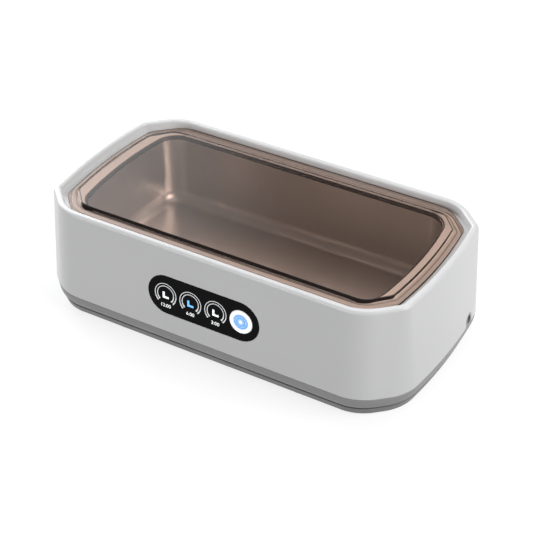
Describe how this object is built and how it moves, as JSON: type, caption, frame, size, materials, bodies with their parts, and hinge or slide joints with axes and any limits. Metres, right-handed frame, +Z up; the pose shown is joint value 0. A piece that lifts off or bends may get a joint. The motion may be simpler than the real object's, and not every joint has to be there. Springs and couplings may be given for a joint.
{
  "type": "ultrasonic cleaner",
  "caption": "Tabletop ultrasonic cleaner with a flared plastic housing, a steel tank, a loose clear lid and a push-button panel on its front.",
  "frame": {"origin": "On the table, at the middle of the footprint", "axes": "+X from the left end to the end with the power inlet, +Y from the control panel to the back, +Z up"},
  "size_m": [0.2008, 0.1088, 0.058],
  "materials": {
    "housing": "gloss moulded",
    "steel": "satin pressed",
    "silicone": "soft matt",
    "smoked_clear": "clear brown moulded",
    "base_grey": "fine satin",
    "cover_grey": "fine satin",
    "foot_rubber": "matt",
    "screw_steel": "zinc plated",
    "ceramic": "silvered ceramic",
    "wire_red": "sleeved",
    "wire_black": "sleeved",
    "circuit_board": "solder mask",
    "ferrite": "pressed ferrite",
    "winding": "taped",
    "capacitor_sleeve": "sleeved",
    "film_case": "dipped",
    "black_case": "moulded",
    "heat_sink_metal": "extruded",
    "header_white": "moulded",
    "panel_black": "high gloss",
    "diffuser": "milky",
    "led": "clear resin",
    "button_white": "gloss",
    "button_blue": "lit, milky",
    "cable_grey": "sleeved",
    "pin_metal": "plated"
  },
  "bodies": {
    "body": {"upper_housing": "housing", "tank": "steel", "tank_gasket": "silicone", "base_frame": "base_grey", "bottom_cover": "cover_grey", "foot_front_left": "foot_rubber", "foot_front_right": "foot_rubber", "foot_rear_left": "foot_rubber", "foot_rear_right": "foot_rubber", "base_screws": "screw_steel", "piezo_disc": "ceramic", "piezo_lead_live": "wire_red", "piezo_lead_return": "wire_black", "driver_board": "circuit_board", "board_screws": "screw_steel", "transformer_core": "ferrite", "transformer_winding": "winding", "bulk_capacitor": "capacitor_sleeve", "film_capacitor": "film_case", "power_transistor": "black_case", "heat_sink": "heat_sink_metal", "piezo_header": "header_white", "power_header": "header_white", "panel_header": "header_white", "control_board": "circuit_board", "control_screws": "screw_steel", "control_panel": "panel_black", "light_guide": "diffuser", "mode_led_1": "led", "mode_led_2": "led", "mode_led_3": "led", "button_led": "led", "tact_switch": "black_case", "panel_connector": "header_white", "panel_cable": "cable_grey", "dc_jack": "black_case", "jack_pin": "pin_metal", "jack_lead_positive": "wire_red", "jack_lead_negative": "wire_black"},
    "lid": {"lid": "smoked_clear"},
    "button": {"power_button": "button_white", "button_lens": "button_blue", "switch_plunger": "header_white"}
  },
  "joints": [
    {"name": "lid_lift", "type": "slide", "parent": "body", "child": "lid", "axis": [0, 0, 1], "range_m": [0, 0.06]},
    {"name": "button_press", "type": "slide", "parent": "body", "child": "button", "axis": [0, 0.9984, -0.0557], "range_m": [0, 0.0006], "stiffness_N_per_m": 400}
  ]
}
